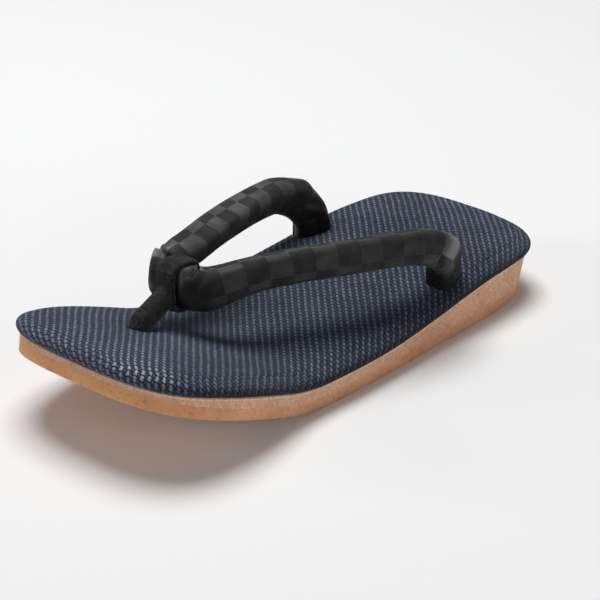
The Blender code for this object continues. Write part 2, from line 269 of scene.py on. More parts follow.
class SoleSizes(bpy.types.PropertyGroup):
    """Sizes that the outsole, the cork and the footbed share."""

    length: bpy.props.FloatProperty(
        name="Length", description="Length of the cork's top", default=0.2595, unit="LENGTH")
    width: bpy.props.FloatProperty(
        name="Width", description="Width of the cork's top", default=0.106, unit="LENGTH")
    toe_rounding: bpy.props.FloatProperty(
        name="Toe rounding", description="Length of the rounded toe", default=0.056, unit="LENGTH")
    toe_fullness: bpy.props.FloatProperty(
        name="Toe fullness", description="2 is an ellipse, more is squarer", default=3.1)
    heel_rounding: bpy.props.FloatProperty(
        name="Heel rounding", description="Length of the rounded heel", default=0.036, unit="LENGTH")
    heel_fullness: bpy.props.FloatProperty(
        name="Heel fullness", description="2 is an ellipse, more is squarer", default=3.0)
    toe_spring: bpy.props.FloatProperty(
        name="Toe spring", description="Height of the toe over the floor", default=0.0325, unit="LENGTH")
    spring_length: bpy.props.FloatProperty(
        name="Spring length", description="Length of the rising front", default=0.098, unit="LENGTH")
    spring_bend: bpy.props.FloatProperty(
        name="Spring bend", description="Half length of the bend", default=0.014, unit="LENGTH")
    outsole: bpy.props.FloatProperty(
        name="Outsole", description="Thickness of the rubber sheet", default=0.0058, unit="LENGTH")
    cork_heel: bpy.props.FloatProperty(
        name="Cork heel", description="Thickness of the cork at the heel", default=0.0146, unit="LENGTH")
    side_lean: bpy.props.FloatProperty(
        name="Side lean", description="How far the sides lean in to the floor", default=0.0012,
        unit="LENGTH")
    heel_lean: bpy.props.FloatProperty(
        name="Heel lean", description="How far the heel leans in to the floor", default=0.0048,
        unit="LENGTH")
    toe_lean: bpy.props.FloatProperty(
        name="Toe lean", description="How far the toe leans in to the floor", default=-0.0020,
        unit="LENGTH")
    rim: bpy.props.FloatProperty(
        name="Rim", description="Height of the footbed's edge", default=0.0068, unit="LENGTH")
    crown: bpy.props.FloatProperty(
        name="Crown", description="Height of the padding over the edge", default=0.0045, unit="LENGTH")
    overhang: bpy.props.FloatProperty(
        name="Overhang", description="How far the cloth stands proud", default=0.0023, unit="LENGTH")
    toe_overhang: bpy.props.FloatProperty(
        name="Toe overhang", description="The same at the toe", default=0.0012, unit="LENGTH")
    gap: bpy.props.FloatProperty(
        name="Gap", description="Gap between the solids", default=0.0003, unit="LENGTH")
    spine_setback: bpy.props.FloatProperty(
        name="Spine setback", description="Share of the width from the sole's ends to its spine's ends",
        default=0.42)


class StrapSizes(bpy.types.PropertyGroup):
    """Sizes of the strap and the toe post."""

    toe_to_post: bpy.props.FloatProperty(
        name="Toe to post", description="From the toe to the post", default=0.0452, unit="LENGTH")
    post_shift: bpy.props.FloatProperty(
        name="Post shift", description="From the middle to the post", default=-0.0088, unit="LENGTH")
    post_radius: bpy.props.FloatProperty(
        name="Post radius", description="Radius of the stem", default=0.0048, unit="LENGTH")
    post_lean: bpy.props.FloatProperty(
        name="Post lean", description="How far the knot lies behind the post's foot", default=0.0235,
        unit="LENGTH")
    band_width: bpy.props.FloatProperty(
        name="Band width", description="Width of the band over the strap", default=0.0108,
        unit="LENGTH")
    band_thickness: bpy.props.FloatProperty(
        name="Band thickness", description="Thickness of the band", default=0.0023, unit="LENGTH")
    post_to_holes: bpy.props.FloatProperty(
        name="Post to holes", description="From the post to the rear holes", default=0.1415,
        unit="LENGTH")
    hole_spread: bpy.props.FloatProperty(
        name="Hole spread", description="Between the rear holes", default=0.0790, unit="LENGTH")
    rise: bpy.props.FloatProperty(
        name="Rise", description="Height of the strap's middle over its hole", default=0.0267,
        unit="LENGTH")
    tilt: bpy.props.FloatProperty(
        name="Tilt", description="How far the knot's right side is raised", default=0.0013,
        unit="LENGTH")
    half_width: bpy.props.FloatProperty(
        name="Half width", description="Half width of an arm", default=0.0070, unit="LENGTH")
    half_height: bpy.props.FloatProperty(
        name="Half height", description="Half height of an arm", default=0.0067, unit="LENGTH")
    fullness: bpy.props.FloatProperty(
        name="Fullness", description="2 is an oval section, more is squarer", default=3.4)
    seam: bpy.props.FloatProperty(
        name="Seam", description="Depth of the seam under the strap", default=0.0007, unit="LENGTH")
    check_turn: bpy.props.FloatProperty(
        name="Check turn", description="Degrees by which the checker is turned down", default=3.0)
    check: bpy.props.FloatProperty(
        name="Check", description="Length of a square of the checker weave", default=0.0105,
        unit="LENGTH")


class ClothSizes(bpy.types.PropertyGroup):
    """Yarns of the footbed and grain of the cork."""

    yarn: bpy.props.FloatProperty(
        name="Yarn", description="Spacing of the footbed's yarns", default=0.00205, unit="LENGTH")
    unevenness: bpy.props.FloatProperty(
        name="Unevenness", description="How far yarns wander, in yarn spacings", default=0.4)
    twist: bpy.props.FloatProperty(
        name="Twist", description="Skew of each dash by the yarn's twist", default=0.62,
        subtype="ANGLE")
    grain: bpy.props.FloatProperty(
        name="Cork grain", description="Size of a cork granule", default=0.0010, unit="LENGTH")


class FinishColours(bpy.types.PropertyGroup):
    """Colours of the cloths, the cork, the rubber and the floor."""

    pale_yarn: bpy.props.FloatVectorProperty(
        name="Pale yarn", description="Palest fibres of the footbed's ply", subtype="COLOR", size=4,
        default=linear("#929aa9"))
    navy_yarn: bpy.props.FloatVectorProperty(
        name="Navy yarn", description="Middle tone of the footbed's dark yarns", subtype="COLOR", size=4,
        default=linear("#2e3547"))
    cork: bpy.props.FloatVectorProperty(
        name="Cork", description="Middle tone of the cork's granules", subtype="COLOR", size=4,
        default=linear("#d3aa8c"))
    rubber: bpy.props.FloatVectorProperty(
        name="Rubber", description="Middle tone of the sponge rubber", subtype="COLOR", size=4,
        default=linear("#d29a72"))
    warp_check: bpy.props.FloatVectorProperty(
        name="Warp check", description="Squares of the strap that shine", subtype="COLOR", size=4,
        default=linear("#2f2f2e"))
    weft_check: bpy.props.FloatVectorProperty(
        name="Weft check", description="Squares of the strap that stay dull", subtype="COLOR", size=4,
        default=linear("#2b2b2b"))
    cord: bpy.props.FloatVectorProperty(
        name="Cord", description="Paler tone of the toe post's cord", subtype="COLOR", size=4,
        default=linear("#2c2c2b"))
    floor: bpy.props.FloatVectorProperty(
        name="Floor", description="Colour of the matt floor", subtype="COLOR", size=4,
        default=linear("#f6f6f6"))


class StageSizes(bpy.types.PropertyGroup):
    """Camera and lights."""

    lens: bpy.props.FloatProperty(
        name="Lens", description="Focal length in millimetres", default=134.0, unit="CAMERA")
    top: bpy.props.FloatProperty(
        name="Top light", description="Power of the big light above", default=26.5, unit="POWER")
    left: bpy.props.FloatProperty(
        name="Left light", description="Power of the light beyond the toe", default=13.5,
        unit="POWER")
    front: bpy.props.FloatProperty(
        name="Front light", description="Power of the low light in front", default=4.9,
        unit="POWER")
    sky: bpy.props.FloatProperty(
        name="Sky", description="Strength of the even light all around", default=0.12)


def through(rows, column, share):
    """Smooth curve through one column of a table, read at the shares of its first column."""
    table = np.array(rows)
    known = table[:, 0]
    value = table[:, column]
    step = np.diff(known)
    slope = np.diff(value) / step
    inner = (slope[:-1] * step[1:] + slope[1:] * step[:-1]) / (step[1:] + step[:-1])
    rate = np.concatenate([slope[:1], inner, slope[-1:]])
    share = np.clip(share, known[0], known[-1])
    i = np.clip(np.searchsorted(known, share, side="right") - 1, 0, len(step) - 1)
    u = (share - known[i]) / step[i]
    start = value[i] * (1 + 2 * u) * (1 - u) ** 2 + rate[i] * step[i] * u * (1 - u) ** 2
    end = value[i + 1] * (3 - 2 * u) * u ** 2 - rate[i + 1] * step[i] * (1 - u) * u ** 2
    return start + end


def smooth(low, high, value):
    """0 below low, 1 above high, and a soft S between."""
    t = np.clip((value - low) / (high - low), 0, 1)
    return t * t * (3 - 2 * t)


def outline(sole, count):
    """Evenly spaced outline of the cork's top and its outward normals.

    The ends are quarter superellipses, and the sides follow the width table."""
    quarter = np.linspace(0, math.pi / 2, QUARTER_POINTS)
    toe_share = sole.toe_rounding / sole.length
    heel_share = sole.heel_rounding / sole.length
    toe = toe_share * (1 - np.cos(quarter) ** (2 / sole.toe_fullness))
    side = np.linspace(toe_share, 1 - heel_share, SIDE_POINTS)[1:-1]
    heel = 1 - heel_share * (1 - np.cos(quarter[::-1]) ** (2 / sole.heel_fullness))
    share = np.concatenate([toe, side, heel])
    rounding = np.concatenate([
        np.sin(quarter) ** (2 / sole.toe_fullness), np.ones(len(side)),
        np.sin(quarter[::-1]) ** (2 / sole.heel_fullness)])
    half = sole.width / 2 * through(WIDTH_TABLE, 1, share)
    left = np.stack([half * rounding, sole.length * (share - 0.5)], axis=1)
    loop = np.concatenate([left, left[-2::-1] * (-1, 1)])
    reached = np.concatenate([[0], np.cumsum(np.linalg.norm(np.diff(loop, axis=0), axis=1))])
    at = np.linspace(0, reached[-1], count, endpoint=False)
    points = np.stack([np.interp(at, reached, loop[:, 0]), np.interp(at, reached, loop[:, 1])], axis=1)
    along = np.roll(points, -1, axis=0) - np.roll(points, 1, axis=0)
    normals = np.stack([along[:, 1], -along[:, 0]], axis=1)
    return points, normals / np.linalg.norm(normals, axis=1)[:, None]


def share_of(sole, y):
    """Share of the sole's length from the toe."""
    return np.clip(y / sole.length + 0.5, 0, 1)


def floor_side(sole, y):
    """Height of the outsole's underside: flat, a parabola, then a straight rise to the toe."""
    forward = (sole.spring_length - sole.length / 2 - y) / sole.spring_length
    bend = sole.spring_bend / sole.spring_length
    rise = np.where(forward < 2 * bend, np.clip(forward, 0, None) ** 2 / (4 * bend), forward - bend)
    return sole.toe_spring * rise / (1 - bend)


def cork_bottom(sole, y):
    """Height of the cork's underside."""
    return floor_side(sole, y) + sole.outsole + sole.gap


def cork_top(sole, y):
    """Height of the cork's top."""
    return cork_bottom(sole, y) + sole.cork_heel * through(CORK_TABLE, 1, share_of(sole, y))


def ring(sole, edge, share, inset, height):
    """Ring around the sole: the outline moved in by an inset, then drawn to the spine by a share."""
    points, normals = edge
    reach = sole.length / 2 - sole.width * sole.spine_setback
    middle = np.stack([np.zeros(len(points)), np.clip(points[:, 1], -reach, reach)], axis=1)
    moved = points - normals * np.reshape(inset, (-1, 1))
    plan = middle + (moved - middle) * share
    return np.column_stack([plan, height(plan[:, 1])])


def wall_lean(sole, normals):
    """How far the wall has leant in at the floor, around the outline."""
    side = sole.side_lean * np.abs(normals[:, 0])
    heel = sole.heel_lean * np.clip(normals[:, 1], 0, None)
    toe = sole.toe_lean * np.clip(-normals[:, 1], 0, None)
    return side + heel + toe


def mesh_object(name, grid, look, uv=None, around=True, caps=False, marks=None):
    """Object over a grid of points (rows, columns, 3); around joins the last column to the first.

    uv holds one pair for each grid point plus one more column, caps closes both ends, and marks
    are named numbers, one for each point."""
    rows, columns = grid.shape[:2]
    wide = columns if around else columns - 1
    i, j = np.meshgrid(np.arange(rows - 1), np.arange(wide), indexing="ij")
    k = (j + 1) % columns
    quads = np.stack([i * columns + j, i * columns + k, (i + 1) * columns + k, (i + 1) * columns + j],
                     axis=-1).reshape(-1, 4)
    mesh = bpy.data.meshes.new(name)
    faces = quads.tolist()
    if caps:
        faces.append(list(range(columns))[::-1])
        faces.append(list(range((rows - 1) * columns, rows * columns)))
    mesh.from_pydata(grid.reshape(-1, 3).tolist(), [], faces)
    if uv is not None:
        corner = np.stack([uv[i, j], uv[i, j + 1], uv[i + 1, j + 1], uv[i + 1, j]], axis=2)
        flat = corner.reshape(-1, 2)
        spare = len(mesh.loops) - len(flat)
        layer = mesh.uv_layers.new(name="UVMap")
        layer.data.foreach_set("uv", np.concatenate([flat, np.zeros((spare, 2))]).astype("f4").ravel())
    for mark, values in (marks or {}).items():
        layer = mesh.attributes.new(mark, "FLOAT", "POINT")
        layer.data.foreach_set("value", np.broadcast_to(values, (rows, columns)).astype("f4").ravel())
    work = bmesh.new()
    work.from_mesh(mesh)
    bmesh.ops.remove_doubles(work, verts=work.verts, dist=MERGED)
    bmesh.ops.recalc_face_normals(work, faces=work.faces)
    work.to_mesh(mesh)
    work.free()
    return add_piece(name, mesh, look)


def add_piece(name, mesh, look):
    """Puts a mesh into the scene, shaded smooth, with its material."""
    mesh.shade_smooth()
    mesh.materials.append(look)
    made = bpy.data.objects.new(name, mesh)
    bpy.context.scene.collection.objects.link(made)
    return made


def fill(tree, made, sockets):
    """Fills or links a node's sockets, given by name or in their order."""
    for key, value in sockets.items() if isinstance(sockets, dict) else enumerate(sockets):
        if isinstance(value, bpy.types.NodeSocket):
            tree.links.new(value, made.inputs[key])
        else:
            made.inputs[key].default_value = value


def node(tree, kind, sockets=(), out=0, stops=(), **settings):
    """Adds a shader node, sets its options, sockets and ramp, and gives one of its outputs.

    kind is the node's type, with its operation after a space where it has one. stops are the
    places and colours of a colour ramp, from low to high."""
    kind, _, operation = kind.partition(" ")
    made = tree.nodes.new("ShaderNode" + kind)
    if operation:
        made.operation = operation
    for name, value in settings.items():
        setattr(made, name, value)
    fill(tree, made, sockets)
    if stops:
        elements = made.color_ramp.elements
        elements[0].position = stops[0][0]
        elements[1].position = stops[-1][0]
        for place, _ in stops[1:-1]:
            elements.new(place)
        for element, (_, colour) in zip(elements, stops):
            element.color = linear(colour) if isinstance(colour, str) else colour
    return made.outputs[out]


def new_look(name):
    """Material with a Principled shader."""
    look = bpy.data.materials.new(name)
    look.use_nodes = True
    return look


def dressed(look, sockets):
    """The material, with the sockets of its Principled shader filled or linked."""
    fill(look.node_tree, look.node_tree.nodes["Principled BSDF"], sockets)
    return look


def woven_cloth(cloth, colours):
    """Coarse plain weave of spun cotton: a pale blue-grey ply shows as short dashes over navy.

    The UV map is the cloth laid flat, in metres. With c = cos(pi u/p) and d = cos(pi v/p), a yarn
    along v lies on top where c d is above 0, and one along u elsewhere. Each dash is |c|^m |d|^n.
    The attribute for the rolled-under edge paints shade there, and the one at the toe's corner paints
    pale fuzz, partly wear and partly a painted highlight. Along the sole the toe is painted lighter
    and the middle, under the strap, painted darker, as light and shade. Noises are 17 mm for the
    drift, 33 mm for patches and 0.9 mm for fibres."""
    look = new_look("coarse_plain_weave_cotton")
    add = partial(node, look.node_tree)
    solid = add("TexCoord", out="Object")
    drift = add("TexNoise", {"Vector": solid, "Scale": 60.0, "Detail": 1.0}, "Color")
    centred = add("VectorMath SUBTRACT", (drift, (0.5, 0.5, 0.5)))
    pulled = add("VectorMath SCALE", {0: centred, "Scale": cloth.yarn * cloth.unevenness})
    moved = add("VectorMath ADD", (add("UVMap", out="UV"), pulled))
    turn = math.pi / cloth.yarn
    v = add("Math MULTIPLY", (add("SeparateXYZ", (moved,), "Y"), turn))
    twist = add("Math MULTIPLY", (add("Math SINE", (add("Math MULTIPLY", (v, 2.0)),)), cloth.twist))
    u = add("Math ADD", (add("Math MULTIPLY", (add("SeparateXYZ", (moved,), "X"), turn)), twist))
    c = add("Math COSINE", (u,))
    d = add("Math COSINE", (v,))
    side = add("Math SIGN", (add("Math MULTIPLY", (c, d)),))
    c = add("Math ABSOLUTE", (c,))
    d = add("Math ABSOLUTE", (d,))
    dash = add("Math MULTIPLY", (add("Math POWER", (c, 0.5)), add("Math POWER", (d, 0.5))))
    pale = add("Math MULTIPLY", (dash, add("Math MAXIMUM", (side, 0.0))))
    bar = add("Math MULTIPLY", (add("Math POWER", (c, 0.7)), add("Math POWER", (d, 1.6))))
    under = add("Math MAXIMUM", (add("Math MULTIPLY", (side, -1.0)), 0.0))
    navy = add("Math MULTIPLY", (bar, under))
    slub = add("TexNoise", {"Vector": moved, "Scale": 0.45 / cloth.yarn, "Detail": 4.0})
    fibres = add("TexNoise", {"Vector": solid, "Scale": 1100.0, "Detail": 5.0})
    gain = add("Math MULTIPLY_ADD", (slub, 1.5, 0.25))
    hairy = add("Math MULTIPLY_ADD", (fibres, 3.0, -0.6))
    lit = add("Math MULTIPLY", (add("Math MULTIPLY", (pale, gain)), hairy))
    pale_tone = add("ValToRGB", (lit,), stops=(
        (0.0, "#20242f"), (0.15, "#3a404f"), (0.42, "#636b7d"), (1.0, colours.pale_yarn)))
    navy_tone = add("ValToRGB", (add("Math MULTIPLY", (navy, hairy)),), stops=(
        (0.0, "#1d212d"), (0.45, colours.navy_yarn), (0.95, "#5d677c")))
    tone = add("Mix", {"Factor": 1.0, 6: pale_tone, 7: navy_tone}, 2, **LIGHTER)
    # Painted light and shade along the sole: the toe lighter, the middle under the strap darker
    backward = add("Math MULTIPLY_ADD", (add("SeparateXYZ", (solid,), "Y"), 3.0, 0.5))
    toe_light_mid_shade = add("ValToRGB", (backward,), stops=(
        (0.12, "#ffffff"), (0.34, "#cccdd1"), (0.66, "#cccdd1"), (0.88, "#e8e8ea")))
    patch = add("TexNoise", {"Vector": solid, "Scale": 30.0, "Detail": 3.0})
    patches = add("ValToRGB", (patch,), stops=((0.30, "#c8c8d0"), (0.70, "#ffffff")))
    # Painted shade where the edge rolls under
    shade = add("ValToRGB", (add("Attribute", out="Fac", attribute_name="tucked"),), stops=(
        (0.0, "#ffffff"), (0.5, "#a4a4b0"), (1.0, "#34343e")))
    for tint in (toe_light_mid_shade, patches, shade):
        tone = add("Mix", {"Factor": 1.0, 6: tone, 7: tint}, 2, **TINT)
    # The toe's corner painted pale, partly wear and partly a painted highlight
    rubbed = add("Attribute", out="Fac", attribute_name="rubbed")
    fluff_and_highlight = add("Math MULTIPLY", (rubbed, add("Math POWER", (lit, 1.5))))
    frayed = add("Mix", {"Factor": fluff_and_highlight, 6: tone, 7: linear("#c6ccd8")}, 2, **BLEND)
    height = add("Math MAXIMUM", (pale, add("Math MULTIPLY", (navy, 0.8))))
    rough = add("Math ADD", (height, add("Math MULTIPLY", (fibres, 0.3))))
    bump = add("Bump", {"Height": rough, "Strength": 0.9, "Distance": 0.0005})
    return dressed(look, {
        "Base Color": frayed, "Normal": bump, "Roughness": 0.85, "Specular IOR Level": 0.25,
        "Sheen Weight": 0.12, "Sheen Roughness": 0.5, "Sheen Tint": linear("#b9c1d2")})


def granulated_cork(grain, colours):
    """Sanded sheet of glued cork granules: pinkish tan, pale granules, a few small dark pits.

    The attribute rim is 1 at the wall's top edge, where a pale frayed line of glue shows. Noises
    are 18 mm for clouds, 2.5 mm for the granules' wander, 1.9 mm for the frayed line and 0.7 mm
    for the sanded grain."""
    look = new_look("granulated_cork_sheet")
    add = partial(node, look.node_tree)
    place = add("TexCoord", out="Object")
    wander = add("TexNoise", {"Vector": place, "Scale": 400.0, "Detail": 2.0}, "Color")
    moved = add("VectorMath ADD", (place, add("VectorMath SCALE", {0: wander, "Scale": grain * 0.35})))
    granule = add("TexVoronoi", {"Vector": moved, "Scale": 1 / grain}, "Color")
    tone = add("ValToRGB", (add("SeparateColor", (granule,), "Red"),), stops=(
        (0.0, "#cfa486"), (0.3, "#d9b192"), (0.6, colours.cork), (0.85, "#deba9d"), (1.0, "#e6c8b0")))
    cloud = add("TexNoise", {"Vector": place, "Scale": 55.0, "Detail": 4.0})
    warmth = add("ValToRGB", (cloud,), stops=((0.3, "#f0dfd4"), (0.7, "#fffaf6")))
    warm = add("Mix", {"Factor": 1.0, 6: tone, 7: warmth}, 2, **TINT)
    hollow = add("TexVoronoi", {"Vector": moved, "Scale": 0.33 / grain}, "Color")
    near = add("ValToRGB", (hollow.node.outputs["Distance"],), stops=(
        (0.08, "#ffffff"), (0.20, "#000000")))
    chosen = add("Math GREATER_THAN", (add("SeparateColor", (hollow,), "Green"), 0.80))
    pits = add("Math MULTIPLY", (near, chosen))
    pitted = add("Mix", {"Factor": pits, 6: warm, 7: linear("#84604a")}, 2, **BLEND)
    rim = add("Attribute", out="Fac", attribute_name="rim")
    fray = add("TexNoise", {"Vector": place, "Scale": 520.0, "Detail": 4.0})
    line = add("ValToRGB", (add("Math MULTIPLY", (rim, add("Math ADD", (fray, 0.45)))),), stops=(
        (0.78, "#000000"), (1.0, "#d8d8d8")))
    edged = add("Mix", {"Factor": line, 6: pitted, 7: linear("#e8d2bc")}, 2, **BLEND)
    fine = add("TexNoise", {"Vector": place, "Scale": 1500.0, "Detail": 3.0})
    relief = add("Math ADD", (granule.node.outputs["Distance"], add("Math MULTIPLY", (fine, 0.8))))
    sunk = add("Math SUBTRACT", (relief, add("Math MULTIPLY", (pits, 1.5))))
    bump = add("Bump", {"Height": sunk, "Strength": 0.5, "Distance": 0.00022})
    return dressed(look, {
        "Base Color": edged, "Normal": bump, "Roughness": 0.86, "Specular IOR Level": 0.3})


def sponge_rubber(colours):
    """Tan sponge rubber sheet, cut and sanded: smooth, matt, with faint marks, and a tint along its
    length, plain at the rear and yellower at the toe, that is painted light.

    The attribute tread is 1 on the underside, which is scuffed and grey from the floor, with ribs
    7.5 mm apart. Noises are 17 mm for clouds, 26 mm for scuffs, 1.5 mm for specks and 0.9 mm for
    pores."""
    look = new_look("sanded_sponge_rubber")
    add = partial(node, look.node_tree)
    place = add("TexCoord", out="Object")
    cloud = add("TexNoise", {"Vector": place, "Scale": 60.0, "Detail": 5.0})
    tone = add("ValToRGB", (cloud,), stops=((0.3, "#c88f69"), (0.5, colours.rubber), (0.72, "#daa580")))
    # Painted light along the rubber: the rear kept bright against its shade, the toe tinted as if lit
    # from the front
    forward = add("Math MULTIPLY", (add("SeparateXYZ", (place,), "Y"), -5.0))
    toe = add("ValToRGB", (forward,), stops=((0.42, "#ffffff"), (0.64, "#fbf3da")))
    painted_light_along_rubber = add("Mix", {"Factor": 1.0, 6: tone, 7: toe}, 2, **TINT)
    speck = add("TexNoise", {"Vector": place, "Scale": 650.0, "Detail": 2.0})
    specks = add("ValToRGB", (speck,), stops=((0.33, "#d9c8bb"), (0.45, "#ffffff")))
    dotted = add("Mix", {"Factor": 0.6, 6: painted_light_along_rubber, 7: specks}, 2, **TINT)
    tread = add("Attribute", out="Fac", attribute_name="tread")
    scuff = add("TexNoise", {"Vector": place, "Scale": 38.0, "Detail": 8.0, "Roughness": 0.7})
    scuffs = add("ValToRGB", (scuff,), stops=((0.35, "#000000"), (0.7, "#c0c0c0")))
    dirty = add("Math MULTIPLY", (tread, scuffs))
    soiled = add("Mix", {"Factor": dirty, 6: dotted, 7: linear("#8a7462")}, 2, **BLEND)
    fine = add("TexNoise", {"Vector": place, "Scale": 1100.0, "Detail": 3.0})
    ribs = add("TexWave", {"Vector": place, "Scale": 42.0}, "Fac", bands_direction="Y")
    grooves = add("Math MULTIPLY", (add("Math MULTIPLY", (ribs, tread)), 3.0))
    relief = add("Math ADD", (fine, grooves))
    bump = add("Bump", {"Height": relief, "Strength": 0.35, "Distance": 0.00012})
    return dressed(look, {
        "Base Color": soiled, "Normal": bump, "Roughness": 0.6, "Specular IOR Level": 0.4})


def checker_cloth(colours):
    """Black cotton, woven tone on tone in squares: warp-faced ones shine a little, weft-faced don't.

    The UV map counts squares along and around the strap. One attribute paints it paler, partly wear
    at the rear bends and partly painted highlights on lit top faces and fold crests, and another paints
    shade on the cloth where it goes down into its hole. Noises are 3.3 mm for the squares' wander,
    7 mm for the mottling and 0.6 mm for fibres."""
    look = new_look("black_checker_weave_cotton")
    add = partial(node, look.node_tree)
    solid = add("TexCoord", out="Object")
    wave = add("TexNoise", {"Vector": solid, "Scale": 300.0, "Detail": 2.0}, "Color")
    shift = add("VectorMath SCALE", {0: wave, "Scale": 0.10})
    moved = add("VectorMath ADD", (add("UVMap", out="UV"), shift))
    checks = add("TexChecker", {"Vector": moved, "Scale": 1.0, "Color1": colours.warp_check,
                                "Color2": colours.weft_check})
    warp = checks.node.outputs["Fac"]
    rub = add("TexNoise", {"Vector": solid, "Scale": 150.0, "Detail": 6.0})
    mottle = add("ValToRGB", (rub,), stops=((0.32, "#a6a6a6"), (0.70, "#ffffff")))
    mottled = add("Mix", {"Factor": 1.0, 6: checks, 7: mottle}, 2, **TINT)
    # Painted shade on the cloth where it goes down into its hole
    deep = add("Attribute", out="Fac", attribute_name="deep")
    hole_shaded = add("Mix", {"Factor": deep, 6: mottled, 7: linear("#6c6c6c")}, 2, **TINT)
    # Painted paler: wear at the bends and painted highlights on lit tops and fold crests
    worn = add("Attribute", out="Fac", attribute_name="worn")
    raised = add("Math MULTIPLY", (add("Math ADD", (warp, 0.25)), 0.8))
    fray = add("Math MULTIPLY", (add("Math MULTIPLY", (worn, raised)), add("Math ADD", (rub, 0.2))))
    cloth = add("Mix", {"Factor": fray, 6: hole_shaded, 7: linear("#858582")}, 2, **BLEND)
    gloss = add("ValToRGB", (warp,), stops=((0.0, "#e8e8e8"), (1.0, "#c0c0c0")))
    fibres = add("TexNoise", {"Vector": solid, "Scale": 1600.0, "Detail": 3.0})
    stepped = add("Math ADD", (fibres, add("Math MULTIPLY", (warp, 0.4))))
    bump = add("Bump", {"Height": stepped, "Strength": 0.55, "Distance": 0.00014})
    return dressed(look, {
        "Base Color": cloth, "Normal": bump, "Roughness": gloss, "Specular IOR Level": 0.25,
        "Sheen Weight": 0.06, "Sheen Roughness": 0.4})


def ribbed_cloth(colours):
    """Black ribbed cotton of the toe post, matt and a little fluffy.

    Its ribs are CORD_RIB apart and lean 40 degrees. Noises are 2.4 mm for tone and 0.8 mm for fibres."""
    look = new_look("black_ribbed_cotton")
    add = partial(node, look.node_tree)
    solid = add("TexCoord", out="Object")
    cloud = add("TexNoise", {"Vector": solid, "Scale": 420.0, "Detail": 5.0})
    tone = add("ValToRGB", (cloud,), stops=((0.32, "#101011"), (0.68, colours.cord)))
    turned = add("Mapping", {"Vector": solid, "Rotation": (math.radians(40), 0, 0)})
    ribs = add("TexWave", {"Vector": turned, "Scale": WAVE_LENGTH / CORD_RIB, "Distortion": 1.2,
                           "Detail": 1.0}, "Fac", bands_direction="Y")
    fibres = add("TexNoise", {"Vector": solid, "Scale": 1300.0, "Detail": 3.0})
    relief = add("Math ADD", (fibres, ribs))
    bump = add("Bump", {"Height": relief, "Strength": 0.9, "Distance": 0.00035})
    return dressed(look, {
        "Base Color": tone, "Normal": bump, "Roughness": 0.88, "Specular IOR Level": 0.25,
        "Sheen Weight": 0.10, "Sheen Roughness": 0.45})


def post_place(sole, strap):
    """Place where the toe post goes into the footbed."""
    y = strap.toe_to_post - sole.length / 2
    return np.array([strap.post_shift, y, footbed_height(sole, strap.post_shift, y)])


def footbed_height(sole, x, y):
    """Height of the padding at a place well inside its edge."""
    half = sole.width / 2 * through(WIDTH_TABLE, 1, share_of(sole, y))
    rows = sorted((row[0], row[3]) for row in FOOTBED_EDGE if row[2] == 1.0)
    crown = through(rows, 1, np.minimum(np.abs(x) / half, 1))
    return float(cork_top(sole, y) + sole.gap + sole.rim + sole.crown * crown)


def hole_place(sole, strap, side):
    """Place where an arm of the strap goes into the footbed."""
    x = side * strap.hole_spread / 2
    y = post_place(sole, strap)[1] + strap.post_to_holes
    return np.array([x, y, footbed_height(sole, x, y)])


def knot_place(sole, strap):
    """Middle of the strap under the band."""
    x, y, _ = post_place(sole, strap)
    return np.array([x, y + strap.post_lean,
                     hole_place(sole, strap, 1)[2] + strap.rise * ARM_TABLE[0][3]])


def arm_rows(sole, strap, side, count):
    """Places and half sizes along one arm, from the knot down into its hole."""
    table = np.array(ARM_TABLE)
    knot = knot_place(sole, strap)
    hole = hole_place(sole, strap, side)
    way = table[:, 0]
    x = side * strap.hole_spread / 2 * table[:, 1] + knot[0] * table[:, 2]
    x[1] = knot[0] + side * (strap.band_width / 2 + 2 * sole.gap)
    y = knot[1] + (hole[1] - knot[1]) * way
    z = hole[2] + strap.rise * table[:, 3] - side * strap.tilt * table[:, 7]
    half_width = strap.half_width * table[:, 4 if side > 0 else 5]
    rows = np.column_stack([x, y, z, half_width, strap.half_height * table[:, 6]])
    length = np.linalg.norm(np.diff(rows[:, :3], axis=0), axis=1)
    reached = np.concatenate([[0], np.cumsum(length)])
    numbered = np.column_stack([reached, rows])
    at = np.linspace(0, reached[-1], count)
    return np.column_stack([through(numbered, column, at) for column in range(1, 6)])


def frames(path, first_up):
    """Side and up vectors along a path, turned no more than the path bends."""
    tangent = np.gradient(path, axis=0)
    tangent /= np.linalg.norm(tangent, axis=1)[:, None]
    up = np.array(first_up, dtype=float)
    ups = []
    for t in tangent:
        up = up - t * np.dot(up, t)
        up = up / np.linalg.norm(up)
        ups.append(up)
    ups = np.array(ups)
    return np.cross(tangent, ups), ups


def section(count, fullness):
    """Unit superellipse at places evenly spaced along it, from the outer side over the top."""
    angle = np.linspace(0, 2 * math.pi, SECTION_POINTS)
    across = np.sign(np.cos(angle)) * np.abs(np.cos(angle)) ** (2 / fullness)
    upward = np.sign(np.sin(angle)) * np.abs(np.sin(angle)) ** (2 / fullness)
    reached = np.concatenate([[0], np.cumsum(np.hypot(np.diff(across), np.diff(upward)))])
    at = np.linspace(0, reached[-1], count, endpoint=False)
    return np.interp(at, reached, across), np.interp(at, reached, upward)


def footbed_rows(sole, count):
    """Rows of the footbed's edge table, evenly spaced over the cloth.

    The cloth's length is measured on the widest section, where the table's shares become sizes."""
    table = np.array(FOOTBED_EDGE)
    across = table[:, 0] * sole.width / 2 + table[:, 1] * sole.overhang
    upward = table[:, 2] * sole.rim + table[:, 3] * sole.crown
    reached = np.concatenate([[0], np.cumsum(np.hypot(np.diff(across), np.diff(upward)))])
    numbered = np.column_stack([reached, table])
    at = np.linspace(0, reached[-1], count)
    return np.column_stack([through(numbered, column, at) for column in range(1, 5)])


